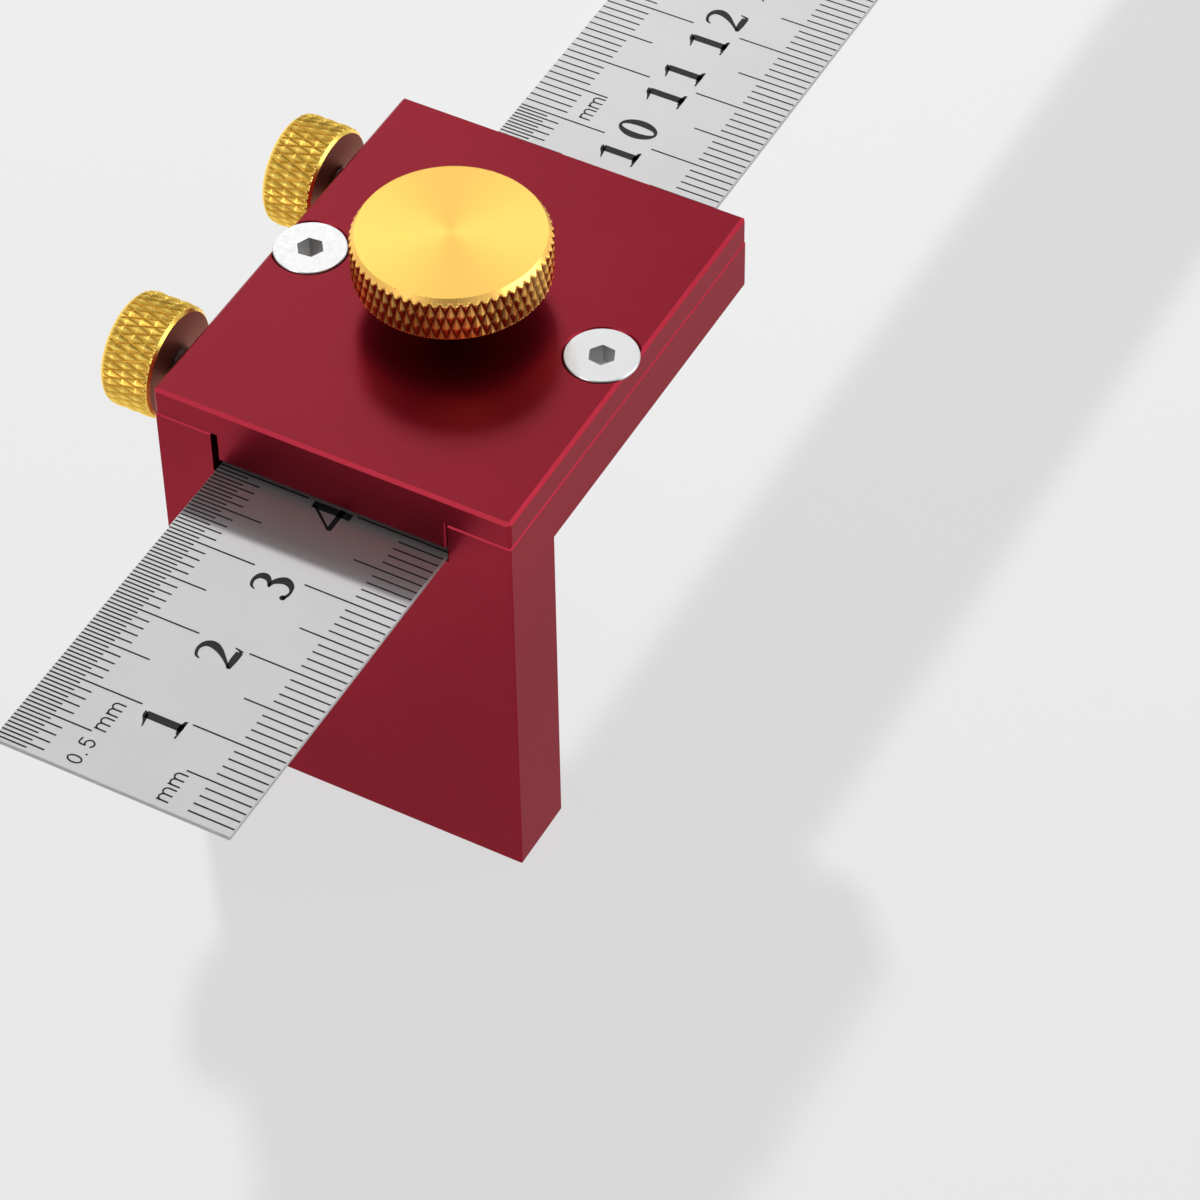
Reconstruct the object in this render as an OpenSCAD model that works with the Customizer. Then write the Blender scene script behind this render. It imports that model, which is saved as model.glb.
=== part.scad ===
// Steel rule with a clamp-on edge fence.
// The origin is the middle of the inside corner, where the plate's underside meets the fence.
// X runs across the rule, Y along it (the zero end points to -Y) and Z up through the cover.

/* [Block] */
// Width of the block across the rule
block_w = 39.5; // [38:0.5:44]
// Length of the plate behind the fence
plate_l = 40; // [36:1:60]
// Thickness of the plate from its underside to the seam under the cover
base_t = 5.9; // [5.6:0.1:7]
// Thickness of the fence
fence_t = 8.4; // [6:0.1:12]
// Drop of the fence below the plate's underside
fence_drop = 40.2; // [20:0.1:60]
// Width of the channel in the plate
channel_w = 26.3; // [26.2:0.1:26.5]
// Offset of the channel from the block's middle
channel_shift = -0.3; // [-0.35:0.05:-0.2]
// Thickness of the web left under the channel
web_t = 1; // [0.8:0.1:1.2]
// Chamfer on the outer edges of the block
block_chamfer = 0.15; // [0.1:0.05:0.4]

/* [Cover] */
// Thickness of the cover outside its tongue
cover_t = 3.35; // [3:0.05:5]
// Width of the tongue
tongue_w = 25.5; // [24:0.1:25.6]
// Offset of the tongue from the block's middle
tongue_shift = -0.1; // [-0.15:0.05:0]
// Height of the slot that the tongue leaves over the web
slot_h = 1.6; // [1:0.1:1.8]
// Chamfer on the cover's upper edges
cover_chamfer = 0.35; // [0.1:0.05:0.6]
// Chamfer on the cover's lower edges and the tongue
seam_chamfer = 0.2; // [0.1:0.05:0.3]

/* [Cover screws] */
// Distance between the two screws
screw_spacing = 32.9; // [31:0.1:34]
// Radius of the thread
screw_r = 2; // [1.5:0.5:2]
// Radius of the countersunk head, which cuts the cover's side edge
screw_head_r = 3.75; // [3.5:0.05:3.9]
// Gap around the head at the cover's surface
head_gap = 0.25; // [0.1:0.05:0.4]
// Width across the flats of the socket
socket_flats = 2.5; // [2:0.5:2.5]

/* [Rule] */
// Width of the rule
rule_w = 25.6; // [25.5:0.1:25.7]
// Thickness of the rule
rule_t = 0.5; // [0.4:0.1:0.8]
// Length of the rule, past its last mark at 300
rule_l = 325; // [315:1:340]
// Distance of the zero end in front of the block
rule_reach = 39.4; // [10:0.1:150]
// Radius of the hole for hanging the rule up
hang_hole_r = 3; // [2:0.5:4]
// Distance of that hole from the far end
hang_hole_inset = 10; // [8:1:12]
// Radius of the two corners at the far end
rule_corner_r = 3; // [1:0.5:6]

/* [Clamp screw] */
// Radius of the large knob
clamp_knob_r = 10; // [8:0.5:12]
// Height of the large knob
clamp_knob_h = 5.2; // [4:0.1:8]
// Gap between the cover and the large knob
clamp_gap = 4; // [2:0.1:6]
// Radius of its threaded stud
clamp_stud_r = 2.5; // [2:0.5:3]

/* [Side screws] */
// Radius of the small knobs
side_knob_r = 6; // [5:0.25:7]
// Length of the small knobs
side_knob_l = 5.7; // [4:0.1:7]
// Gap between the block and the front small knob
front_gap = 3.4; // [2.4:0.1:5]
// Gap between the block and the rear small knob
rear_gap = 3.1; // [2.4:0.1:5]
// Radius of their threaded studs
side_stud_r = 2; // [1.5:0.5:2]
// Distance of the front small knob from the fence's front face
side_front = 9.6; // [8:0.1:12]
// Distance between the two small knobs
side_spacing = 30.1; // [20:0.1:32]

/* [Hidden] */

anodised_red = [0.56, 0.08, 0.13];
anodised_gold = [0.95, 0.72, 0.3];
steel = [0.78, 0.78, 0.78];
brass = [0.8, 0.65, 0.35];

// Radial clearance of a screw in its thread, and the small gap left between parts that touch
thread_play = 0.05;
touch_gap = 0.03;
cut = 1;
bore_fn = 96;
knob_fn = 180;

top_z = base_t + cover_t;
front_y = -fence_t;
length_all = fence_t + plate_l;
middle_y = front_y + length_all / 2;
tongue_z = web_t + slot_h;
channel_left = channel_shift - channel_w / 2;
channel_right = channel_shift + channel_w / 2;

// The rule lies on the web, 0.25 from the channel's right wall
rule_right = channel_right - 0.25;
rule_left = rule_right - rule_w;
rule_z = web_t + touch_gap;
rule_top = rule_z + rule_t;
rule_y = front_y - rule_reach;
rule_chamfer = 0.08;

// The head's 90 degree cone lies in the countersink, below a short upright rim
screw_proud = 0.05;
head_rim_z = touch_gap - head_gap;
head_cone_z = head_rim_z + screw_r - screw_head_r;
screw_end_z = 0.2;
screw_end_chamfer = 0.35;
socket_depth = 2;

// Every swivel pad has a stem that turns in a blind bore in the stud's end
pad_gap = 0.05;
pad_t = 0.8;
stem_l = 2;
clamp_pad_r = 2.2;
clamp_stem_r = 1;
side_pad_r = 1.6;
side_stem_r = 0.7;

// The large knob's upper rim is a slope, and every other rim is a small chamfer
clamp_rim_in = 0.55;
clamp_rim_drop = 0.8;
knob_rim = 0.35;
knob_skin = 1.4;

clamp_pad_z = rule_top + pad_gap;
clamp_knob_z = top_z + clamp_gap;
side_axis_z = web_t + side_pad_r + 0.1;
side_pad_x = rule_left - pad_gap;
front_knob_y = front_y + side_front;
rear_knob_y = front_knob_y + side_spacing;
// Distances from a side pad's face to its knob's inner face
front_knob_at = side_pad_x + block_w / 2 + front_gap;
rear_knob_at = side_pad_x + block_w / 2 + rear_gap;

// Rectangle from a corner, with its four corners cut off by c
module cut_rectangle(w, h, c) {
    polygon([[c, 0], [w - c, 0], [w, c], [w, h - c], [w - c, h], [c, h], [0, h - c], [0, c]]);
}

// Block from its lowest corner, with a chamfer c on all twelve edges
module chamfered_block(size, c) {
    intersection() {
        linear_extrude(size.z) cut_rectangle(size.x, size.y, c);
        translate([0, size.y, 0]) rotate([90, 0, 0])
            linear_extrude(size.y) cut_rectangle(size.x, size.z, c);
        rotate([90, 0, 90]) linear_extrude(size.x) cut_rectangle(size.y, size.z, c);
    }
}

module round_bar(r, from_z, to_z) {
    translate([0, 0, from_z]) cylinder(r = r, h = to_z - from_z, $fn = bore_fn);
}

// Puts a part that is drawn along +Z from its pad's face onto a side axis at y
module on_side_axis(y) {
    translate([side_pad_x, y, side_axis_z]) rotate([0, -90, 0]) children();
}

// A cover screw's place, side 1 for the right one and -1 for the left one
module at_cover_screw(side) {
    translate([side * screw_spacing / 2, middle_y, top_z]) children();
}

// Hole for a cover screw, a cone from the cover's surface down to the shank
module countersink() {
    mouth_r = screw_head_r + head_gap;
    bore_r = screw_r + thread_play;
    rotate_extrude($fn = bore_fn) polygon([
        [0, cut], [mouth_r, cut], [mouth_r, 0], [bore_r, bore_r - mouth_r], [bore_r, -top_z], [0, -top_z]
    ]);
}

module block_body() {
    color(anodised_red) difference() {
        union() {
            translate([-block_w / 2, front_y, 0])
                chamfered_block([block_w, length_all, base_t], block_chamfer);
            translate([-block_w / 2, front_y, -fence_drop])
                chamfered_block([block_w, fence_t, fence_drop + base_t], block_chamfer);
        }
        translate([channel_left, front_y - cut, web_t])
            cube([channel_w, length_all + 2 * cut, base_t]);
        for (side = [-1, 1]) at_cover_screw(side)
            round_bar(screw_r + thread_play, -top_z - cut, cut);
        for (y = [front_knob_y, rear_knob_y]) on_side_axis(y)
            round_bar(side_stud_r + thread_play, side_pad_x - channel_left,
                      side_pad_x + block_w / 2 + cut);
    }
}

module cover_plate() {
    color(anodised_red) difference() {
        union() {
            intersection() {
                translate([-block_w / 2, front_y, base_t + touch_gap])
                    chamfered_block([block_w, length_all, cover_t + cut], seam_chamfer);
                translate([-block_w / 2, front_y, 0])
                    chamfered_block([block_w, length_all, top_z], cover_chamfer);
            }
            translate([tongue_shift - tongue_w / 2, front_y, tongue_z])
                chamfered_block([tongue_w, length_all, top_z - cut - tongue_z], seam_chamfer);
        }
        for (side = [-1, 1]) at_cover_screw(side) countersink();
        translate([0, middle_y, 0]) round_bar(clamp_stud_r + thread_play, 0, top_z + cut);
    }
}

module cover_screw(side) {
    end_z = screw_end_z - top_z;
    color(steel) at_cover_screw(side) difference() {
        rotate_extrude($fn = bore_fn) polygon([
            [0, screw_proud], [screw_head_r - 0.08, screw_proud], [screw_head_r, screw_proud - 0.08],
            [screw_head_r, head_rim_z], [screw_r, head_cone_z], [screw_r, end_z + screw_end_chamfer],
            [screw_r - screw_end_chamfer, end_z], [0, end_z]
        ]);
        translate([0, 0, screw_proud - socket_depth]) rotate(side * 54)
            cylinder(d = socket_flats / cos(30), h = socket_depth + cut, $fn = 6);
    }
}

module cover_screw_left() {
    cover_screw(-1);
}

module cover_screw_right() {
    cover_screw(1);
}

module steel_rule() {
    color(steel) difference() {
        translate([rule_left, rule_y, rule_z]) intersection() {
            translate([0, rule_l, 0]) rotate([90, 0, 0])
                linear_extrude(rule_l) cut_rectangle(rule_w, rule_t, rule_chamfer);
            rotate([90, 0, 90]) linear_extrude(rule_w)
                cut_rectangle(rule_l, rule_t, rule_chamfer);
            linear_extrude(rule_t) union() {
                square([rule_w, rule_l - rule_corner_r]);
                translate([rule_corner_r, 0]) square([rule_w - 2 * rule_corner_r, rule_l]);
                for (x = [rule_corner_r, rule_w - rule_corner_r])
                    translate([x, rule_l - rule_corner_r]) circle(rule_corner_r, $fn = bore_fn);
            }
        }
        translate([rule_left + rule_w / 2, rule_y + rule_l - hang_hole_inset, 0])
            round_bar(hang_hole_r, 0, rule_top + cut);
    }
}

// Knob along +Z from its inner face, with a blind bore for its stud
module knob(r, h, rim_in, rim_drop, stud_r) {
    color(anodised_gold) difference() {
        rotate_extrude($fn = knob_fn) polygon([
            [0, 0], [r - knob_rim, 0], [r, knob_rim], [r, h - rim_drop], [r - rim_in, h], [0, h]
        ]);
        round_bar(stud_r, -cut, h - knob_skin);
    }
}

// Threaded stud along +Z, with a blind bore in its lower end for the pad's stem
module stud(r, from_z, to_z, stem_r) {
    end_chamfer = r / 5;
    color(steel) difference() {
        rotate_extrude($fn = bore_fn) polygon([
            [0, from_z], [r - end_chamfer, from_z], [r, from_z + end_chamfer], [r, to_z], [0, to_z]
        ]);
        round_bar(stem_r + thread_play, from_z - cut, from_z + stem_l + touch_gap);
    }
}

// Swivel pad with its face at z = 0 and its stem along +Z
module pad(r, stem_r) {
    edge = 0.15;
    color(brass) rotate_extrude($fn = bore_fn) polygon([
        [0, 0], [r - edge, 0], [r, edge], [r, pad_t], [stem_r, pad_t],
        [stem_r, pad_t + stem_l], [0, pad_t + stem_l]
    ]);
}

module clamp_knob() {
    translate([0, middle_y, clamp_knob_z])
        knob(clamp_knob_r, clamp_knob_h, clamp_rim_in, clamp_rim_drop, clamp_stud_r);
}

module clamp_stud() {
    translate([0, middle_y, 0])
        stud(clamp_stud_r, clamp_pad_z + pad_t + touch_gap,
             clamp_knob_z + clamp_knob_h - knob_skin, clamp_stem_r);
}

module clamp_pad() {
    translate([0, middle_y, clamp_pad_z]) pad(clamp_pad_r, clamp_stem_r);
}

module side_knob(y, at) {
    on_side_axis(y) translate([0, 0, at])
        knob(side_knob_r, side_knob_l, knob_rim, knob_rim, side_stud_r);
}

module side_stud(y, knob_at) {
    on_side_axis(y)
        stud(side_stud_r, pad_t + touch_gap, knob_at + side_knob_l - knob_skin, side_stem_r);
}

module side_pad(y) {
    on_side_axis(y) pad(side_pad_r, side_stem_r);
}

module front_knob() {
    side_knob(front_knob_y, front_knob_at);
}

module front_stud() {
    side_stud(front_knob_y, front_knob_at);
}

module front_pad() {
    side_pad(front_knob_y);
}

module rear_knob() {
    side_knob(rear_knob_y, rear_knob_at);
}

module rear_stud() {
    side_stud(rear_knob_y, rear_knob_at);
}

module rear_pad() {
    side_pad(rear_knob_y);
}

block_body();
cover_plate();
cover_screw_left();
cover_screw_right();
steel_rule();
clamp_knob();
clamp_stud();
clamp_pad();
front_knob();
front_stud();
front_pad();
rear_knob();
rear_stud();
rear_pad();
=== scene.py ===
import math

import bpy
import numpy as np
from bpy.props import FloatProperty, FloatVectorProperty, IntProperty, PointerProperty
from mathutils import Matrix, Vector


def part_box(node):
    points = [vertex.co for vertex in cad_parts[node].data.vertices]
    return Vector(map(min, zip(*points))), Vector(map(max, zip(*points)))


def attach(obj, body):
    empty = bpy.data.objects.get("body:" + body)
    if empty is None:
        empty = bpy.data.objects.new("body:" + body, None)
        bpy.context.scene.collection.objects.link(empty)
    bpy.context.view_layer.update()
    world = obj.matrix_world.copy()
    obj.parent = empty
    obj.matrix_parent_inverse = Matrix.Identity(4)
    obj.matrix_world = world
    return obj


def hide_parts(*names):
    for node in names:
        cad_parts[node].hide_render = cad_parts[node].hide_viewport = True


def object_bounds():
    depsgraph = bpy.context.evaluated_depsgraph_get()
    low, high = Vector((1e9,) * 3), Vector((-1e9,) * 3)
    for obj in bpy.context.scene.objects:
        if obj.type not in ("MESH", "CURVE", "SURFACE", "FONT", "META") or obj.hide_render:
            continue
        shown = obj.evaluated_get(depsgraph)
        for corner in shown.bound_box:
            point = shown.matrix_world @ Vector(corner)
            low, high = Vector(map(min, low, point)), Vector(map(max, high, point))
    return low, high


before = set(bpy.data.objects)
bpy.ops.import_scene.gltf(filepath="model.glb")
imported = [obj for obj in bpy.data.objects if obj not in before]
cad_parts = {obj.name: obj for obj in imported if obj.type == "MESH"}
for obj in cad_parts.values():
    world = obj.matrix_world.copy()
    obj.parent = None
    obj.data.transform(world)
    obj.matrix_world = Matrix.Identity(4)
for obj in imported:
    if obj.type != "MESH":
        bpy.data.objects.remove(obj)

bl_info = {
    "name": "Rule stop",
    "version": (1, 0, 0),
    "blender": (4, 5, 0),
    "location": "3D View > Sidebar > Rule stop",
    "description": "Finishes a steel rule that slides in a block with an edge fence",
    "category": "Object",
}

MM = 0.001
TURN = 2 * math.pi

# Places and sizes that the frame gives
cad_low, cad_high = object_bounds()
rule_low, rule_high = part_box("steel_rule")
_, cover_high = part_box("cover_plate")
block_low, block_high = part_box("block_body")

# The coordinate that a screw runs along, and the turn from a piece's own +Z axis to the screw's
ALONG_Z, ALONG_X = 2, 0
STANDS = {ALONG_Z: Matrix.Identity(3), ALONG_X: Matrix(((0, 0, -1), (0, 1, 0), (1, 0, 0)))}

# Each stud's bore as a share of its radius, and a thread's mesh steps round it and along one pitch
BORE_SHARES = {ALONG_Z: 0.44, ALONG_X: 0.375}
THREAD_ROUND, THREAD_STEPS = 48, 12

# How many millimetres the half-millimetre lines and the whole scales reach
HALVES_END, SCALE_END = 100, 300

# Directions from the block: where the lamps stand, and where polished metal sees dark or bright
MAIN_LAMP_WAY = (-0.491, 0.584, 0.647)
SIDE_LAMP_WAY = (0.80, 0.52, 0.29)
DARK_FRONT_WAY = (0.30, -0.62, 0.725)
DARK_ABOVE_WAY = (-0.20, 0.36, 0.911)
MAIN_GLOW_WAY = (-0.435, 0.597, 0.674)
SIDE_GLOW_WAY = (0.892, 0.334, 0.304)
FRONT_GLOW_WAY = (-0.33, -0.73, 0.60)

# The floor's reach, its gap under the object and its mesh steps
FLOOR_REACH, FLOOR_GAP, FLOOR_STEPS = 3.0, 0.2 * MM, 96


# Meshes

def mesh_piece(name, points, triangles, materials, material_of=None, smooth_angle=None, groove=None):
    """A new object at the origin from an array of points and one of triangles.

    material_of holds one material number for each triangle. With a smooth_angle, edges that turn
    less than that are shaded smooth. groove is how deep each point lies in its knurl, from 0 to 1.
    """
    mesh = bpy.data.meshes.new(name)
    mesh.vertices.add(len(points))
    mesh.vertices.foreach_set("co", np.asarray(points, np.float32).ravel())
    mesh.loops.add(3 * len(triangles))
    mesh.loops.foreach_set("vertex_index", np.asarray(triangles, np.int32).ravel())
    mesh.polygons.add(len(triangles))
    mesh.polygons.foreach_set("loop_start", np.arange(0, 3 * len(triangles), 3, dtype=np.int32))
    if material_of is not None:
        mesh.polygons.foreach_set("material_index", np.asarray(material_of, np.int32))
    mesh.update(calc_edges=True)
    mesh.polygons.foreach_set("use_smooth", np.full(len(triangles), smooth_angle is not None))
    if smooth_angle is not None:
        mesh.set_sharp_from_angle(angle=smooth_angle)
    if groove is not None:
        depth = mesh.attributes.new("groove", "FLOAT", "POINT")
        depth.data.foreach_set("value", np.asarray(groove, np.float32))
    for material in materials:
        mesh.materials.append(material)
    piece = bpy.data.objects.new(name, mesh)
    bpy.context.scene.collection.objects.link(piece)
    return piece


def ring_triangles(rows, steps, radius):
    """Triangles between stacked rings of points, one row of radius values for each ring.

    Each cell is split along the diagonal whose ends lie further in, so that a groove's bottom runs
    along edges.
    """
    row, step = np.mgrid[0:rows - 1, 0:steps]
    after = (step + 1) % steps
    a = row * steps + step
    b = row * steps + after
    c = a + steps
    d = b + steps
    along_ad = radius[row, step] + radius[row + 1, after] <= radius[row, after] + radius[row + 1, step]
    first = np.where(along_ad[..., None], np.stack((a, b, d), -1), np.stack((a, b, c), -1))
    second = np.where(along_ad[..., None], np.stack((a, d, c), -1), np.stack((b, d, c), -1))
    return np.concatenate((first.reshape(-1, 3), second.reshape(-1, 3)))


def turned(outline, steps, cutter):
    """Surface turned about +Z and then cut, as (points, triangles, how deep each point was cut).

    Each outline point (radius, height) goes once round in equal steps. cutter(angle, height) gives
    the radius that a knurl or a thread leaves there, and the smaller radius is kept. The outline
    starts and ends on the axis, where one point closes the surface.
    """
    outline = np.asarray(outline, float)
    radius, height = outline[1:-1, 0:1], outline[1:-1, 1:2]
    angle = np.arange(steps)[None, :] * TURN / steps
    kept = np.minimum(radius, cutter(angle, height))
    rings = np.stack(np.broadcast_arrays(kept * np.cos(angle), kept * np.sin(angle), height), -1)
    rows = len(radius)
    ends = np.array(((0, 0, outline[0, 1]), (0, 0, outline[-1, 1])))
    points = np.concatenate((rings.reshape(-1, 3), ends))
    step = np.arange(steps)
    after = (step + 1) % steps
    last = (rows - 1) * steps
    bottom = np.stack((after, step, np.full(steps, rows * steps)), -1)
    top = np.stack((last + step, last + after, np.full(steps, rows * steps + 1)), -1)
    cut = np.append((radius - kept).ravel(), (0, 0))
    return points, np.concatenate((ring_triangles(rows, steps, kept), bottom, top)), cut


def placed(points, stand, at):
    """Points turned by the matrix stand and then moved to at."""
    return points @ np.array(stand).T + np.array(at)


def boxes(low, high):
    """Closed boxes from arrays of lowest and highest corners, as (points, triangles)."""
    pick = np.array(((0, 0, 0), (1, 0, 0), (1, 1, 0), (0, 1, 0), (0, 0, 1), (1, 0, 1), (1, 1, 1), (0, 1, 1)))
    sides = np.array(((0, 2, 1), (0, 3, 2), (4, 5, 6), (4, 6, 7), (0, 1, 5), (0, 5, 4),
                      (1, 2, 6), (1, 6, 5), (2, 3, 7), (2, 7, 6), (3, 0, 4), (3, 4, 7)))
    low, high = np.asarray(low)[:, None], np.asarray(high)[:, None]
    points = low + pick[None] * (high - low)
    triangles = sides[None] + 8 * np.arange(len(points))[:, None, None]
    return points.reshape(-1, 3), triangles.reshape(-1, 3)


def joined(parts):
    """Several (points, triangles) as one."""
    first = np.cumsum([0] + [len(points) for points, _ in parts[:-1]])
    points = np.concatenate([points for points, _ in parts])
    return points, np.concatenate([triangles + n for n, (_, triangles) in zip(first, parts)])


# Knurls and threads

def wave(x):
    """Straight-sided wave, 0 at whole numbers and 1 halfway between them."""
    return 1 - np.abs(2 * np.mod(x, 1) - 1)


def knurl_cutter(radius, grooves, lead, depth):
    """Two families of straight grooves, rolled into a cylinder at equal and opposite angles.

    Round the cylinder and along it, each family's phase grows by one from groove to groove. The
    metal stands to the lower of the two waves, which leaves diamonds, cut off flat near their tips.
    """
    blunt = 0.86

    def cut(angle, height):
        round_phase = grooves * angle / TURN
        along_phase = height / lead
        diamond = np.minimum(wave(round_phase + along_phase), wave(round_phase - along_phase))
        return radius - depth * (1 - np.minimum(diamond, blunt) / blunt)
    return cut


def thread_cutter(radius, pitch):
    """Right-handed screw thread: the crest's height grows by one pitch in one turn.

    The flanks are straight between a crest of an eighth of the pitch and a root of a quarter, and
    the thread is 0.54 of the pitch deep.
    """
    depth = 0.54 * pitch
    crest, root = 1 / 8, 1 / 4
    flank = (1 - crest - root) / 2

    def cut(angle, height):
        from_crest = np.abs(np.mod(height / pitch - angle / TURN, 1) - 0.5)
        return radius - depth * np.clip((from_crest - crest / 2) / flank, 0, 1)
    return cut


def foot_place(low, high, along):
    """Where a screw's piece starts: the middle of its lower end, or of its right one."""
    centre = (low + high) / 2
    if along == ALONG_Z:
        return centre.x, centre.y, low.z
    return high.x, centre.y, centre.z


def knob_outline(radius, height, rim_in, rim_drop, foot, step):
    """Half section of a knob, with a sloping upper rim and a small chamfer at its foot.

    On the way up, the radius is the least of the foot's chamfer, the side and the rim's slope. A
    level nearer to the foot than the least gap is left out.
    """
    least_gap = 0.3 * step
    levels = height - step * np.arange(int(height / step), -1, -1)
    levels = np.concatenate(([0.0], levels[levels > least_gap]))
    slope = radius - rim_in + (height - levels) * rim_in / rim_drop
    side = np.minimum(np.minimum(radius, radius - foot + levels), slope)
    # Rings on the flat faces, as shares of the way out
    shares = (0, 0.35, 0.7)
    under = [(share * (radius - foot), 0) for share in shares]
    face = [(share * (radius - rim_in), height) for share in reversed(shares)]
    return under + list(zip(side, levels)) + face


def knob_shape(node, along, settings, grooves, depth, rim_in, rim_drop, foot_chamfer):
    """Knurled knob in the place of its plain solid: points, triangles, material numbers, grooves.

    along is the coordinate of its axis. The outer face is material 0, the knurled side 1 and the
    face towards the block 2.
    """
    low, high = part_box(node)
    height = high[along] - low[along]
    radius = (high.y - low.y) / 2
    step = settings.knurl_lead / settings.knurl_steps
    outline = knob_outline(radius, height, rim_in, rim_drop, foot_chamfer, step)
    cutter = knurl_cutter(radius, grooves, settings.knurl_lead, depth)
    points, triangles, cut = turned(outline, grooves * settings.knurl_steps, cutter)
    middle = points[triangles].mean(1)[:, 2]
    near = 1e-9
    kind = np.select((middle < near, middle > height - near), (2, 0), 1)
    points = placed(points, STANDS[along], foot_place(low, high, along))
    return points, triangles, kind, np.clip(cut / depth, 0, 1)


def stud_outline(radius, length, bore_r, bore_l, step):
    """Half section of a stud, from the end of the blind bore in its foot round to its top."""
    chamfer = radius / 5
    levels = np.arange(chamfer, length, step)
    bore = [(0, bore_l), (bore_r, bore_l), (bore_r, 0), (radius - chamfer, 0)]
    return bore + [(radius, level) for level in levels] + [(radius, length), (0, length)]


def stud_shape(node, pad_node, along, pitch, play):
    """Threaded stud in the place of its plain solid, as (points, triangles)."""
    low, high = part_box(node)
    pad_low, pad_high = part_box(pad_node)
    length = high[along] - low[along]
    radius = (high.y - low.y) / 2
    stem_end = pad_high.z - low.z if along == ALONG_Z else high.x - pad_low.x
    bore_radius = BORE_SHARES[along] * radius
    outline = stud_outline(radius, length, bore_radius, stem_end + play, pitch / THREAD_STEPS)
    points, triangles, _ = turned(outline, THREAD_ROUND, thread_cutter(radius, pitch))
    return placed(points, STANDS[along], foot_place(low, high, along)), triangles


# Scales and numerals

def smooth_line(stations, per_span=5):
    """Catmull-Rom curve through (x, y, width) stations, with per_span steps between two of them."""
    given = np.asarray(stations, float)
    if len(given) < 3:
        return given
    before = np.vstack((2 * given[0] - given[1], given[:-1]))
    after = np.vstack((given[1:], 2 * given[-1] - given[-2]))
    slope = (after - before) / 2
    t = (np.arange(per_span) / per_span)[None, :, None]
    a, b = given[:-1, None], given[1:, None]
    m, n = slope[:-1, None], slope[1:, None]
    curve = ((2 * t**3 - 3 * t**2 + 1) * a + (t**3 - 2 * t**2 + t) * m
             + (3 * t**2 - 2 * t**3) * b + (t**3 - t**2) * n)
    return np.vstack((curve.reshape(-1, 3), given[-1]))


def ribbon(line, closed=False):
    """Flat closed slab along a line of (x, y, width), as (points, triangles) between z 0 and 1.

    Its two edges lie half a width to each side of the line, square to the line's own direction.
    """
    along = np.roll(line, -1, 0) - np.roll(line, 1, 0) if closed else np.gradient(line, axis=0)
    across = np.stack((-along[:, 1], along[:, 0]), -1)
    across /= np.linalg.norm(across, axis=1)[:, None]
    half = across * line[:, 2:3] / 2
    left, right = line[:, :2] + half, line[:, :2] - half
    count = len(line)
    floor, roof = np.zeros((count, 1)), np.ones((count, 1))
    corners = (np.hstack((left, floor)), np.hstack((right, floor)),
               np.hstack((right, roof)), np.hstack((left, roof)))
    points = np.stack(corners, 1).reshape(-1, 3)
    here = np.arange(count if closed else count - 1)[:, None]
    side = np.arange(4)[None, :]
    ahead = (here + 1) % count
    turn = (side + 1) % 4
    a, b = 4 * here + side, 4 * here + turn
    c, d = 4 * ahead + turn, 4 * ahead + side
    triangles = np.concatenate([np.stack(three, -1).reshape(-1, 3) for three in ((a, b, c), (a, c, d))])
    if not closed:
        last = 4 * (count - 1)
        ends = np.array(((0, 3, 2), (0, 2, 1), (last, last + 1, last + 2), (last, last + 2, last + 3)))
        triangles = np.concatenate((triangles, ends))
    return points, triangles


def stroke(*stations):
    """Pen stroke through (x, y, width) stations."""
    return ribbon(smooth_line(stations))


def ball(x, y, radius):
    """Round end of a stroke: a short line whose width is the chord of a circle.

    It stops just short of the circle's own ends, where the chord has no width.
    """
    steps, end = 9, 0.97
    along = np.linspace(-end, end, steps)
    chord = 2 * radius * np.sqrt(1 - along * along)
    return ribbon(np.stack((x + radius * along, np.full(steps, y), chord), -1))


def oval(x, y, reach_x, reach_y, thick, thin, steps=28):
    """Closed oval stroke, thick at its sides and thin at its top and bottom."""
    angle = np.arange(steps) * TURN / steps
    sharpness = 1.6
    width = thin + (thick - thin) * np.abs(np.cos(angle)) ** sharpness
    return ribbon(np.stack((x + reach_x * np.cos(angle), y + reach_y * np.sin(angle), width), -1), True)


def small_m(pen):
    """Plain m of height 0.8: a stem, and two arches that rise from the stem before them.

    Each arch is half a circle on top of a straight leg down to the foot line.
    """
    top, pitch, steps = 0.8, 0.465, 9
    radius = pitch / 2
    angle = np.linspace(math.pi, 0, steps)
    parts = [stroke((pen / 2, 0, pen), (pen / 2, top, pen))]
    for left in (pen / 2, pen / 2 + pitch):
        across = left + radius * (1 + np.cos(angle))
        up = top - pen / 2 - radius * (1 - np.sin(angle))
        leg = (left + pitch, 0, pen)
        parts.append(ribbon(np.vstack((np.stack((across, up, np.full(steps, pen)), -1), leg))))
    return parts


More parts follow.
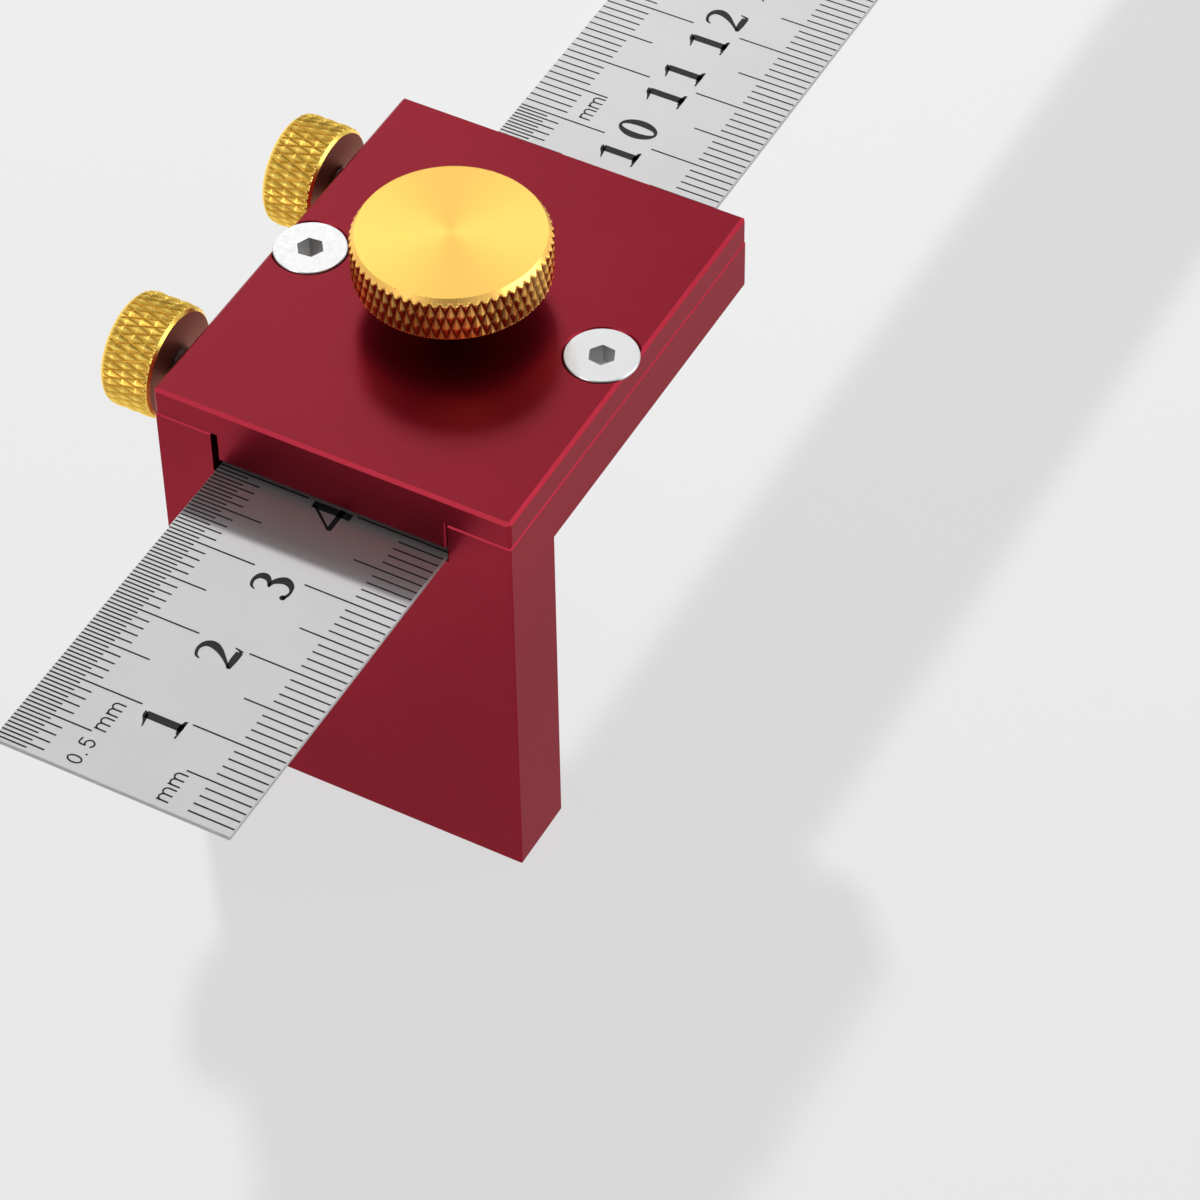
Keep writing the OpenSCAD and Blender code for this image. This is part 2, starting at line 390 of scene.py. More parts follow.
# Bold numerals with thick stems and thin joins, one unit high, and how far each one reaches
NUMERALS = {
    "0": (0.66, lambda: [oval(0.33, 0.5, 0.225, 0.465, 0.20, 0.07)]),
    "1": (0.56, lambda: [
        stroke((0.335, 0.02, 0.20), (0.335, 0.93, 0.20)),
        stroke((0.02, 0.025, 0.045), (0.55, 0.025, 0.045)),
        stroke((0.14, 0.06, 0.03), (0.335, 0.06, 0.13), (0.53, 0.06, 0.03)),
        stroke((0.0, 0.83, 0.025), (0.14, 0.865, 0.06), (0.30, 0.93, 0.12), (0.42, 0.985, 0.03))]),
    "2": (0.66, lambda: [
        stroke((0.02, 0.78, 0.03), (0.09, 0.90, 0.07), (0.28, 0.955, 0.09), (0.45, 0.88, 0.15),
               (0.505, 0.72, 0.20), (0.44, 0.53, 0.17), (0.29, 0.32, 0.10), (0.06, 0.06, 0.05)),
        stroke((0.05, 0.075, 0.10), (0.30, 0.085, 0.17), (0.56, 0.085, 0.17)),
        stroke((0.57, 0.03, 0.10), (0.615, 0.12, 0.06), (0.645, 0.24, 0.03))]),
    "3": (0.67, lambda: [
        stroke((0.03, 0.79, 0.03), (0.10, 0.91, 0.07), (0.27, 0.955, 0.09), (0.42, 0.89, 0.15),
               (0.465, 0.77, 0.18), (0.40, 0.64, 0.12), (0.24, 0.555, 0.05)),
        stroke((0.22, 0.555, 0.05), (0.40, 0.525, 0.13), (0.545, 0.32, 0.215), (0.47, 0.12, 0.15),
               (0.31, 0.035, 0.07), (0.17, 0.05, 0.08), (0.07, 0.11, 0.08)),
        ball(0.085, 0.105, 0.075)]),
    "4": (0.70, lambda: [
        stroke((0.57, 0.94, 0.07), (0.06, 0.31, 0.06)),
        stroke((0.02, 0.27, 0.13), (0.70, 0.27, 0.13)),
        stroke((0.58, 0.0, 0.20), (0.58, 0.985, 0.20))]),
    "5": (0.64, lambda: [
        stroke((0.19, 0.92, 0.15), (0.54, 0.92, 0.15)),
        stroke((0.56, 0.84, 0.06), (0.60, 0.99, 0.03)),
        stroke((0.21, 0.97, 0.05), (0.10, 0.62, 0.05)),
        stroke((0.09, 0.63, 0.05), (0.24, 0.66, 0.12), (0.42, 0.56, 0.17), (0.50, 0.36, 0.21),
               (0.43, 0.14, 0.14), (0.28, 0.04, 0.07), (0.10, 0.08, 0.09)),
        ball(0.085, 0.095, 0.07)]),
    "6": (0.66, lambda: [
        stroke((0.60, 0.98, 0.03), (0.42, 0.92, 0.08), (0.23, 0.74, 0.14), (0.135, 0.46, 0.20),
               (0.17, 0.19, 0.18), (0.33, 0.04, 0.07), (0.48, 0.13, 0.15), (0.535, 0.31, 0.20),
               (0.47, 0.50, 0.14), (0.35, 0.58, 0.07), (0.20, 0.50, 0.06))]),
    "7": (0.64, lambda: [
        stroke((0.06, 0.91, 0.17), (0.60, 0.91, 0.15)),
        stroke((0.08, 0.97, 0.05), (0.03, 0.70, 0.03)),
        stroke((0.59, 0.93, 0.09), (0.47, 0.62, 0.10), (0.36, 0.32, 0.14), (0.29, 0.01, 0.17))]),
    "8": (0.66, lambda: [
        oval(0.33, 0.745, 0.175, 0.215, 0.15, 0.06),
        oval(0.33, 0.275, 0.215, 0.245, 0.17, 0.06)]),
}


def numeral(digit):
    """A digit's width and strokes. The nine is the six turned half round."""
    if digit != "9":
        width, draw = NUMERALS[digit]
        return width, draw()
    width, draw = NUMERALS["6"]
    turned_round = [(points * (-1, -1, 1) + (width, 1, 0), triangles) for points, triangles in draw()]
    return width, turned_round


def on_rule(parts, start, foot, size, rise):
    """Strokes set on the rule's face, reading along +Y with their tops towards -X.

    start is the distance from the rule's zero end, foot the x of the line that they stand on and
    size the height of one unit. They stand out of the face by rise and reach as far into it.
    """
    points, triangles = joined(parts)
    x = foot - points[:, 1] * size
    y = rule_low.y + start + points[:, 0] * size
    z = rule_high.z + rise * (2 * points[:, 2] - 1)
    return np.stack((x, y, z), -1), triangles


def scale_marks(settings):
    """All graduation lines, as (points, triangles).

    The left scale has half millimetres for its first ten centimetres and millimetres after them,
    the right scale has millimetres, and every fifth and tenth millimetre is longer.
    """
    rise, pen, inset = settings.rise, settings.line_width, settings.edge_inset
    halves = np.arange(1, 2 * HALVES_END + 1) * 0.5 * MM
    wholes = np.arange(HALVES_END + 1, SCALE_END + 1) * MM
    left_at = np.concatenate((halves, wholes))
    right_at = np.arange(1, SCALE_END + 1) * MM

    def reach(at, ten):
        """Length of each line, by whether its count of half millimetres divides by 20, 10 or 2."""
        count = np.round(at / (0.5 * MM)).astype(int)
        kinds = (count % 20 == 0, count % 10 == 0, count % 2 == 0)
        return np.select(kinds, (ten, settings.five_line, settings.one_line), settings.half_line)

    left_start = np.full(len(left_at), rule_low.x + inset)
    right_end = np.full(len(right_at), rule_high.x - inset)
    start = np.concatenate((left_start, rule_high.x - reach(right_at, settings.right_ten)))
    end = np.concatenate((rule_low.x + reach(left_at, settings.left_ten), right_end))
    place = rule_low.y + np.concatenate((left_at, right_at))
    face = np.full(len(place), rule_high.z)
    low = np.stack((start, place - pen / 2, face - rise), -1)
    high = np.stack((end, place + pen / 2, face + rise), -1)
    return boxes(low, high)


def scale_numerals(settings):
    """The centimetre numbers: one digit ends at its line, and two digits stand astride of it."""
    size, gap, past_line = settings.numeral_height, 0.4, 0.02
    parts = []
    for number in range(1, SCALE_END // 10 + 1):
        digits = [numeral(digit) for digit in str(number)]
        widths = [width for width, _ in digits]
        place = number * 10 * MM
        if len(digits) == 1:
            starts = [place - (widths[0] - past_line) * size]
        else:
            half = (sum(widths) + gap) / 2
            starts = [place - half * size, place + (half - widths[1]) * size]
        for start, (_, strokes) in zip(starts, digits):
            parts.append(on_rule(strokes, start, settings.numeral_foot, size, settings.rise))
    return joined(parts)


def unit_words(settings):
    """The small plain words by the scales: 0.5 mm and mm."""
    size, pen = settings.word_height, 0.11
    nought = [oval(0.31, 0.5, 0.25, 0.445, pen, pen)]
    point = [stroke((0.0, 0.06, 0.12), (0.12, 0.06, 0.12))]
    five = [stroke((0.54, 0.945, pen), (0.13, 0.945, pen), (0.08, 0.50, pen)),
            stroke((0.06, 0.52, pen), (0.27, 0.63, pen), (0.48, 0.52, pen), (0.55, 0.32, pen),
                   (0.44, 0.11, pen), (0.25, 0.05, pen), (0.05, 0.20, pen))]
    letter = small_m(pen)
    left_foot, right_foot = settings.left_word_foot, settings.right_word_foot
    far_foot = left_foot - 1.2 * MM
    # Each sign, its distance in millimetres from the rule's zero end, and its foot line
    signs = [(nought, 0.9, left_foot), (point, 2.25, left_foot), (five, 3.1, left_foot),
             (letter, 5.4, left_foot), (letter, 7.4, left_foot),
             (letter, 0.83, right_foot), (letter, 2.83, right_foot),
             (letter, 100.9, far_foot), (letter, 102.9, far_foot)]
    return joined([on_rule(sign, at * MM, foot, size, settings.rise) for sign, at, foot in signs])


# Nodes

def add(tree, kind, links=(), **settings):
    """A node with its settings, and its input sockets linked or set in the order given."""
    made = tree.nodes.new(kind)
    for name, value in settings.items():
        setattr(made, name, value)
    for socket, source in links:
        if isinstance(source, bpy.types.NodeSocket):
            tree.links.new(source, made.inputs[socket])
        else:
            made.inputs[socket].default_value = source
    return made


def maths(tree, operation, *values):
    """Result of a Math node."""
    return add(tree, "ShaderNodeMath", enumerate(values), operation=operation).outputs[0]


def vector_maths(tree, operation, *values):
    """Result of a Vector Math node: a number for a length or a dot product, or else a vector."""
    made = add(tree, "ShaderNodeVectorMath", enumerate(values), operation=operation)
    return made.outputs["Value" if operation in ("LENGTH", "DOT_PRODUCT") else "Vector"]


def mixed(tree, share, first, second):
    """A number between two numbers."""
    return add(tree, "ShaderNodeMix", [(0, share), (2, first), (3, second)], data_type="FLOAT").outputs[0]


def noise(tree, place, scale, detail, roughness=0.5):
    """Noise on the given coordinates, between 0 and 1."""
    links = [("Vector", place), ("Scale", scale), ("Detail", detail), ("Roughness", roughness)]
    return add(tree, "ShaderNodeTexNoise", links).outputs["Fac"]


def object_place(tree):
    """The piece's Object coordinates."""
    return add(tree, "ShaderNodeTexCoord").outputs["Object"]


# Shader node groups

def group_tree(name, inputs, outputs):
    """A new shader node group, and its input and output nodes.

    inputs gives the inputs' names and default values, and outputs the names of the values put out.
    """
    tree = bpy.data.node_groups.new(name, "ShaderNodeTree")
    for socket, value in inputs.items():
        kind = "NodeSocketVector" if isinstance(value, tuple) else "NodeSocketFloat"
        made = tree.interface.new_socket(socket, in_out="INPUT", socket_type=kind)
        made.default_value = value
    for socket in outputs:
        tree.interface.new_socket(socket, in_out="OUTPUT", socket_type="NodeSocketFloat")
    return tree, tree.nodes.new("NodeGroupInput"), tree.nodes.new("NodeGroupOutput")


def put_out(tree, given, out, pattern, **values):
    """Links the group's outputs, of which the roughness follows a pattern between 0 and 1.

    It is the given roughness plus the given spread times the pattern's distance from a half.
    """
    centred = maths(tree, "SUBTRACT", pattern, 0.5)
    spread, roughness = given.outputs["Spread"], given.outputs["Roughness"]
    values["Roughness"] = maths(tree, "MULTIPLY_ADD", centred, spread, roughness)
    for socket, value in values.items():
        tree.links.new(value, out.inputs[socket])


def blasted_group():
    """Fine blasted grain under a dye: a roughness, a height and a slow change of colour.

    A noise of the grain's size gives the height and part of the roughness. A slow noise gives the
    unevenness of the dye, between 0 and 1.
    """
    tree, given, out = group_tree("Blasted grain", {"Grain": 0.12 * MM, "Roughness": 0.35, "Spread": 0.05},
                                  ("Roughness", "Height", "Unevenness"))
    place = object_place(tree)
    grain = noise(tree, place, scale=maths(tree, "DIVIDE", 1.0, given.outputs["Grain"]), detail=2.0)
    slow = noise(tree, place, scale=70.0, detail=3.0)
    put_out(tree, given, out, grain, Height=grain, Unevenness=slow)
    return tree


def brushed_group():
    """Fine lines along one direction: a roughness, a height and a shade.

    Noise is read on coordinates that are stretched by one vector, so that it runs out into lines,
    and a slow noise adds the cloudy look of rolled steel.
    """
    tree, given, out = group_tree(
        "Brushed lines", {"Stretch": (8000, 60, 8000), "Roughness": 0.35, "Spread": 0.1},
        ("Roughness", "Height", "Shade"))
    place = object_place(tree)
    drawn = vector_maths(tree, "MULTIPLY", place, given.outputs["Stretch"])
    lines = noise(tree, drawn, scale=1.0, detail=3.0, roughness=0.6)
    cloud = noise(tree, place, scale=180.0, detail=4.0)
    cloud_share = 0.6
    shade = mixed(tree, cloud_share, lines, cloud)
    put_out(tree, given, out, lines, Height=lines, Shade=shade)
    return tree


def ringed_group():
    """Fine rings left by a turning tool round an axis: a roughness and a height.

    The distance from the axis, which is Z of the coordinates given, drives a noise of one
    dimension, so that every ring has its own shade.
    """
    tree, given, out = group_tree(
        "Turned rings", {"Vector": (0, 0, 0), "Rings": 9000.0, "Roughness": 0.3, "Spread": 0.1},
        ("Roughness", "Height"))
    flat = vector_maths(tree, "MULTIPLY", given.outputs["Vector"], (1, 1, 0))
    links = [("W", vector_maths(tree, "LENGTH", flat)), ("Scale", given.outputs["Rings"]), ("Detail", 2.0)]
    rings = add(tree, "ShaderNodeTexNoise", links, noise_dimensions="1D").outputs["Fac"]
    put_out(tree, given, out, rings, Height=rings)
    return tree


def use_group(tree, name, make, links):
    """The group's node in a material, with its inputs linked or set. Its first use makes the group."""
    return add(tree, "ShaderNodeGroup", links, node_tree=bpy.data.node_groups.get(name) or make())


# Materials

def finish(name, metallic, colour, **sockets):
    """A material with a principled shader, whose even values are set on the shader's own sockets."""
    material = bpy.data.materials.new(name)
    material.use_nodes = True
    material.diffuse_color = (*colour, 1)
    tree = material.node_tree
    shader = tree.nodes["Principled BSDF"]
    shader.inputs["Metallic"].default_value = metallic
    shader.inputs["Base Color"].default_value = (*colour, 1)
    for socket, value in sockets.items():
        shader.inputs[socket.replace("_", " ")].default_value = value
    return material, tree, shader


def textured(tree, shader, effect, bump_distance):
    """Links a group's roughness to the shader, and its height by way of a bump."""
    tree.links.new(effect.outputs["Roughness"], shader.inputs["Roughness"])
    bump = add(tree, "ShaderNodeBump",
               [("Height", effect.outputs["Height"]), ("Distance", bump_distance), ("Strength", 1.0)])
    tree.links.new(bump.outputs["Normal"], shader.inputs["Normal"])


def shaded(tree, shader, share, first, second):
    """Base colour between two colours, by a share that changes over the surface."""
    mix = add(tree, "ShaderNodeMix", [(0, share), (6, (*first, 1)), (7, (*second, 1))], data_type="RGBA")
    tree.links.new(mix.outputs[2], shader.inputs["Base Color"])


def scaled(colour, factor):
    """A colour made darker or lighter, up to full strength."""
    return tuple(min(1.0, value * factor) for value in colour)


def clouded(tree, shader, share, colour, contrast):
    """Base colour that changes by the contrast to each side of the given colour."""
    shaded(tree, shader, share, scaled(colour, 1 - contrast), scaled(colour, 1 + contrast))


def dyed_metal(name, colour, edge, roughness, grain, coat):
    """Dyed and sealed aluminium: a coloured metal with a thin clear layer and a blasted grain."""
    material, tree, shader = finish(name, 1.0, colour, Coat_Weight=coat, Coat_Roughness=0.22, Coat_IOR=1.5,
                                    Specular_Tint=(*edge, 1))
    blasted = use_group(tree, "Blasted grain", blasted_group,
                        [("Grain", grain), ("Roughness", roughness), ("Spread", 0.10)])
    clouded(tree, shader, blasted.outputs["Unevenness"], colour, contrast=0.12)
    textured(tree, shader, blasted, bump_distance=0.004 * MM)
    return material


def spun_metal(name, node, colour, along, roughness, anisotropy):
    """Turned face of a node: rings round its axis, and a sheen that is drawn out across them."""
    material, tree, shader = finish(f"{name}, {node}", 1.0, colour, Anisotropic=anisotropy,
                                    Anisotropic_Rotation=0.25)
    axis = "Z" if along == ALONG_Z else "X"
    tangent = add(tree, "ShaderNodeTangent", direction_type="RADIAL", axis=axis)
    tree.links.new(tangent.outputs[0], shader.inputs["Tangent"])
    low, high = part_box(node)
    moved = vector_maths(tree, "SUBTRACT", object_place(tree), (low + high) / 2)
    to_axis = add(tree, "ShaderNodeMapping",
                  [("Vector", moved), ("Rotation", STANDS[along].inverted().to_euler())])
    ringed = use_group(tree, "Turned rings", ringed_group,
                       [("Vector", to_axis.outputs[0]), ("Roughness", roughness), ("Spread", 0.12)])
    textured(tree, shader, ringed, bump_distance=0.003 * MM)
    return material


def knurled_metal(name, top, root, roughness):
    """Knurled and dyed metal with painted shade: darker where the groove attribute says that the knurl is
    deep.
    """
    material, tree, shader = finish(name, 1.0, top, Specular_Tint=(1, 0.9, 0.7, 1))
    depth = add(tree, "ShaderNodeAttribute", attribute_name="groove")
    blasted = use_group(tree, "Blasted grain", blasted_group,
                        [("Grain", 0.18 * MM), ("Roughness", roughness), ("Spread", 0.12)])
    # Painted shade: the base colour runs from the tops' colour to the darker groove colour by the knurl's
    # depth
    shaded(tree, shader, depth.outputs["Fac"], top, root)
    textured(tree, shader, blasted, bump_distance=0.004 * MM)
    return material


def brushed_metal(name, colour, metallic, roughness, stretch, depth, contrast):
    """Steel with fine lines in one direction and a slightly cloudy shade."""
    material, tree, shader = finish(name, metallic, colour)
    brushed = use_group(tree, "Brushed lines", brushed_group,
                        [("Stretch", stretch), ("Roughness", roughness), ("Spread", 0.15)])
    clouded(tree, shader, brushed.outputs["Shade"], colour, contrast)
    textured(tree, shader, brushed, bump_distance=depth)
    return material


def etched_ink(name, colour):
    """Blackened etching, a little uneven."""
    material, tree, shader = finish(name, 0.0, colour, Specular_IOR_Level=0.3)
    blasted = use_group(tree, "Blasted grain", blasted_group,
                        [("Grain", 0.09 * MM), ("Roughness", 0.6), ("Spread", 0.2)])
    tree.links.new(blasted.outputs["Roughness"], shader.inputs["Roughness"])
    darkest, lightest = 0.8, 1.3
    shaded(tree, shader, blasted.outputs["Unevenness"], scaled(colour, darkest), scaled(colour, lightest))
    return material


def give(node, material):
    """Puts a material on a CAD node in place of its plain one."""
    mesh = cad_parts[node].data
    mesh.materials.clear()
    mesh.materials.append(material)


# Settings

def length_property(name, description, default, low, high):
    """A length, given here in millimetres."""
    return FloatProperty(name=name, description=description, default=default * MM, min=low * MM,
                         max=high * MM, unit="LENGTH", precision=6)


def count_property(name, description, default, low, high):
    """A whole number."""
    return IntProperty(name=name, description=description, default=default, min=low, max=high)


def amount_property(name, description, default, high, **kind):
    """A share of one, the strength of a light or the power of a lamp, from nothing up."""
    return FloatProperty(name=name, description=description, default=default, min=0, max=high, **kind)


def angle_property(name, description, degrees):
    """An angle, given here in degrees."""
    return FloatProperty(name=name, description=description, default=math.radians(degrees), subtype="ANGLE")


def colour_property(name, description, default):
    """A colour."""
    return FloatVectorProperty(name=name, description=description, default=default,
                               min=0, max=1, size=3, subtype="COLOR")


class RULESTOP_PG_knobs(bpy.types.PropertyGroup):
    """Sizes of the knurled knobs and the threads."""

    large_grooves: count_property("Large knob grooves", "Grooves of one family round it", 62, 24, 120)
    small_grooves: count_property("Small knob grooves", "Grooves of one family round it", 38, 16, 80)
    knurl_steps: count_property("Knurl steps", "Mesh steps across one diamond, an even number", 16, 4, 24)
    knurl_lead: length_property("Knurl length", "Length of one diamond along the knob", 3.0, 1, 6)
    large_depth: length_property("Large knurl depth", "Depth of the large knob's grooves", 0.27, 0.05, 0.5)
    small_depth: length_property("Small knurl depth", "Depth of a small knob's grooves", 0.25, 0.05, 0.5)
    small_rim: length_property("Small rims", "Chamfer on both rims of a small knob", 0.5, 0.1, 1)
    rim_in: length_property("Rim width", "How far the large knob's upper rim slopes in", 0.55, 0.1, 1)
    rim_drop: length_property("Rim height", "Height of that slope", 0.8, 0.1, 1.5)
    foot_chamfer: length_property("Foot chamfer", "Chamfer on the large knob's lower rim", 0.35, 0.1, 0.8)
    large_pitch: length_property("Large thread pitch", "Pitch of the clamp stud's thread", 0.8, 0.4, 1.2)
    small_pitch: length_property("Small thread pitch", "Pitch of the side studs' threads", 0.7, 0.4, 1.2)
    bore_play: length_property("Bore play", "Room past the pad's stem in the stud's bore", 0.03, 0.01, 0.2)


class RULESTOP_PG_scales(bpy.types.PropertyGroup):
    """Sizes of the rule's graduations and lettering."""

    rise: length_property("Ink height", "How far the marks stand out of the face", 0.012, 0.005, 0.04)
    line_width: length_property("Line width", "Width of a graduation line", 0.18, 0.1, 0.3)
    edge_inset: length_property("Edge inset", "Gap between the rule's edge and its lines", 0.1, 0.05, 1)
    half_line: length_property("Half-millimetre line", "Length of a half-millimetre line", 3.45, 1, 12)
    one_line: length_property("Millimetre line", "Length of a millimetre line", 5.05, 1, 12)
    five_line: length_property("Five-millimetre line", "Length of every fifth line", 7.65, 1, 12)
    left_ten: length_property("Left centimetre line", "Length of a centimetre line on the left", 10.0, 1, 12)
    right_ten: length_property("Right centimetre line", "Length of one on the right", 10.1, 1, 12)
    numeral_height: length_property("Numeral height", "Height of the centimetre numbers", 4.33, 2, 6)
    numeral_foot: length_property("Numeral foot line", "Where the numbers stand, from the block's middle",
                                  2.0, -4, 6)
    word_height: length_property("Word height", "Height of the figures in the unit words", 1.63, 1, 3)
    left_word_foot: length_property("Left word foot line", "Where the left scale's words stand", -4.1, -8, 0)
    right_word_foot: length_property("Right word foot line", "Where the right scale's word stands", 5.5, 0, 8)


class RULESTOP_PG_colours(bpy.types.PropertyGroup):
    """Colours of the finishes."""

    red: colour_property("Red dye", "Dyed metal of the block and the cover", (0.252, 0.0078, 0.021))
    gold: colour_property("Gold dye", "Dyed metal of the knobs", (1.0, 0.63, 0.14))
    knurl: colour_property("Knurl", "Tops of the large knob's knurl", (1.0, 0.58, 0.14))
    # Painted shade: the knurl groove colours stand for the shade deep in the grooves
    knurl_root: colour_property("Knurl groove shade", "Painted shade in the large knob's knurl grooves", (0.30, 0.12, 0.04))
    small_knurl: colour_property("Small knurl", "Tops of the small knobs' knurls", (1.0, 0.70, 0.14))
    small_root: colour_property("Small grooves", "Painted shade in the small knobs' knurl grooves", (0.50, 0.26, 0.03))
    # Painted shade and painted reflection: the inner gold is a darker, redder copy of the gold dye, for the
    # block's shade and the red block mirrored in it
    inner: colour_property("Shaded inner gold", "Faces of the knobs towards the block, painted shade and reflection", (0.38, 0.14, 0.08))
    rule: colour_property("Rule steel", "Brushed face of the rule", (0.65, 0.65, 0.65))
    screw: colour_property("Screw steel", "Bright steel of the cover screws", (0.63, 0.63, 0.63))
    stud: colour_property("Stud steel", "Threaded steel of the studs", (0.24, 0.23, 0.22))
    brass: colour_property("Brass", "Swivel pads", (0.75, 0.52, 0.22))
    ink: colour_property("Ink", "Etched marks on the rule", (0.02, 0.02, 0.022))


class RULESTOP_PG_stage(bpy.types.PropertyGroup):
    """Camera, lamps and floor."""

    aim: FloatVectorProperty(name="Aim", description="Point that the camera looks at", subtype="XYZ",
                             unit="LENGTH", size=3, precision=5, default=(0.03169, -0.01275, 0.00925))
    distance: length_property("Distance", "Distance of the camera from that point", 423.4, 100, 5000)
    azimuth: angle_property("Azimuth", "Camera's turn round the object, 0 looks along +Y", 29.092)
    elevation: angle_property("Elevation", "Camera's height above the horizon", 47.085)
    roll: angle_property("Roll", "Camera's turn about its own axis", -0.921)
    lens: FloatProperty(name="Lens", description="Focal length for a frame 36 mm wide", default=137.98,
                        min=10, max=500, subtype="DISTANCE_CAMERA")
    floor: colour_property("Floor", "Pale floor", (0.84, 0.84, 0.84))
    floor_seen: amount_property("Even floor", "Share of the floor that the camera sees without shade",
                                0.78, 1, subtype="FACTOR")
    floor_mirrored: amount_property("Even mirrored floor", "The same share, for polished metal",
                                    0.55, 1, subtype="FACTOR")
    floor_extra: amount_property("Extra floor light", "How much brighter metal mirrors that share", 0.5, 2)
    surroundings: colour_property("Surroundings", "What the polished metal shows", (0.80, 0.80, 0.81))
    ambient: amount_property("Ambient light", "Even light from all round", 0.22, 2)
    dark_front: amount_property("Dark front", "How dark metal sees the studio's front", 0.85, 1,
                                subtype="FACTOR")
    dark_above: amount_property("Dark above", "How dark metal sees it high above the back", 0.6, 1,
                                subtype="FACTOR")
    side_glow: amount_property("Side glow", "Bright round that metal sees low on the right", 3.2, 50)
    front_glow: amount_property("Front glow", "Bright round that metal sees at the left front", 4.5, 50)
    glow: amount_property("Main glow", "Bright round that metal sees near the main lamp", 4.6, 50)
    key: amount_property("Main lamp", "Power of the lamp behind on the left", 11.0, 100, unit="POWER")
    side: amount_property("Side lamp", "Power of the low lamp on the right", 1.2, 100, unit="POWER")


# Operators

class RULESTOP_OT_block(bpy.types.Operator):
    """Gives the block and its cover their red dyed finish"""

    bl_idname = "rule_stop.block"
    bl_label = "Block and cover"

    def execute(self, context):
        colours = context.scene.rule_stop_colours
        red = dyed_metal("Red dyed metal", colours.red, edge=(0.9, 0.6, 0.62), roughness=0.39,
                         grain=0.16 * MM, coat=0.12)
        give("block_body", red)
        give("cover_plate", red)
        return {"FINISHED"}


class RULESTOP_OT_screws(bpy.types.Operator):
    """Gives the two countersunk screws their satin steel"""

    bl_idname = "rule_stop.screws"
    bl_label = "Cover screws"

    def execute(self, context):
        colours = context.scene.rule_stop_colours
        steel = brushed_metal("Satin screw steel", colours.screw, metallic=0.8, roughness=0.32,
                              stretch=(2500, 2500, 2500), depth=0.002 * MM, contrast=0.06)
        give("cover_screw_left", steel)
        give("cover_screw_right", steel)
        return {"FINISHED"}


class RULESTOP_OT_rule(bpy.types.Operator):
    """Gives the rule its lengthwise brushed steel"""

    bl_idname = "rule_stop.rule"
    bl_label = "Rule"

    def execute(self, context):
        colours = context.scene.rule_stop_colours
        steel = brushed_metal("Brushed rule steel", colours.rule, metallic=0.12, roughness=0.38,
                              stretch=(9000, 160, 9000), depth=0.003 * MM, contrast=0.08)
        give("steel_rule", steel)
        return {"FINISHED"}


class RULESTOP_OT_scales(bpy.types.Operator):
    """Builds the rule's graduations, numbers and unit words"""

    bl_idname = "rule_stop.scales"
    bl_label = "Scales"

    def execute(self, context):
        settings = context.scene.rule_stop_scales
        ink = etched_ink("Etched ink", context.scene.rule_stop_colours.ink)
        shapes = {"rule_graduations": scale_marks, "rule_numerals": scale_numerals, "rule_words": unit_words}
        for name, shape in shapes.items():
            piece = mesh_piece(name, *shape(settings), [ink])
            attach(piece, "rule")
        return {"FINISHED"}


class RULESTOP_OT_knobs(bpy.types.Operator):
    """Builds the three knurled knobs in the place of their plain solids"""

    bl_idname = "rule_stop.knobs"
    bl_label = "Knobs"

    def execute(self, context):
        settings = context.scene.rule_stop_knobs
        colours = context.scene.rule_stop_colours
        # Each knurled finish darkens its grooves with painted shade
        large_knurl = knurled_metal("Gold knurled metal with painted groove shade, large", colours.knurl, colours.knurl_root,
                                    roughness=0.28)
        small_knurl = knurled_metal("Gold knurled metal with painted groove shade, small", colours.small_knurl, colours.small_root,
                                    roughness=0.28)
        # Axis and side finish of each kind, then its grooves, their depth, its rim and its foot
        large = (ALONG_Z, large_knurl, settings.large_grooves, settings.large_depth, settings.rim_in,
                 settings.rim_drop, settings.foot_chamfer)
        rim = settings.small_rim
        small = (ALONG_X, small_knurl, settings.small_grooves, settings.small_depth, rim, rim, rim)
        for node, kind in (("clamp_knob", large), ("front_knob", small), ("rear_knob", small)):
            along, knurled, *sizes = kind
            face = spun_metal("Gold spun face", node, colours.gold, along, roughness=0.38, anisotropy=0.7)
            # The inner face's colour is painted shade and a painted reflection of the red block
            inner = spun_metal("Gold inner face with painted shade", node, colours.inner, along, roughness=0.55, anisotropy=0.2)
            points, triangles, material_of, groove = knob_shape(node, along, settings, *sizes)
            piece = mesh_piece(node + "_knurled", points, triangles, [face, knurled, inner], material_of,
                               groove=groove)
            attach(piece, node)
            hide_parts(node)
        return {"FINISHED"}


class RULESTOP_OT_studs(bpy.types.Operator):
    """Builds the three threaded studs in the place of their plain solids"""

    bl_idname = "rule_stop.studs"
    bl_label = "Studs"

    def execute(self, context):
        settings = context.scene.rule_stop_knobs
        steel = brushed_metal("Threaded steel", context.scene.rule_stop_colours.stud, metallic=1.0,
                              roughness=0.35, stretch=(3000, 3000, 3000), depth=0.002 * MM, contrast=0.1)
        side_screw = (ALONG_X, settings.small_pitch)
        screws = {"clamp": (ALONG_Z, settings.large_pitch), "front": side_screw, "rear": side_screw}
        for screw, (along, pitch) in screws.items():
            shape = stud_shape(screw + "_stud", screw + "_pad", along, pitch, settings.bore_play)
            piece = mesh_piece(screw + "_stud_threaded", *shape, [steel], smooth_angle=math.radians(25))
            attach(piece, screw + "_knob")
            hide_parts(screw + "_stud")
        return {"FINISHED"}


class RULESTOP_OT_pads(bpy.types.Operator):
    """Gives the three swivel pads their turned brass"""

    bl_idname = "rule_stop.pads"
    bl_label = "Pads"

    def execute(self, context):
        brass = context.scene.rule_stop_colours.brass
        for node, along in (("clamp_pad", ALONG_Z), ("front_pad", ALONG_X), ("rear_pad", ALONG_X)):
            give(node, spun_metal("Turned brass", node, brass, along, roughness=0.3, anisotropy=0.4))
        return {"FINISHED"}


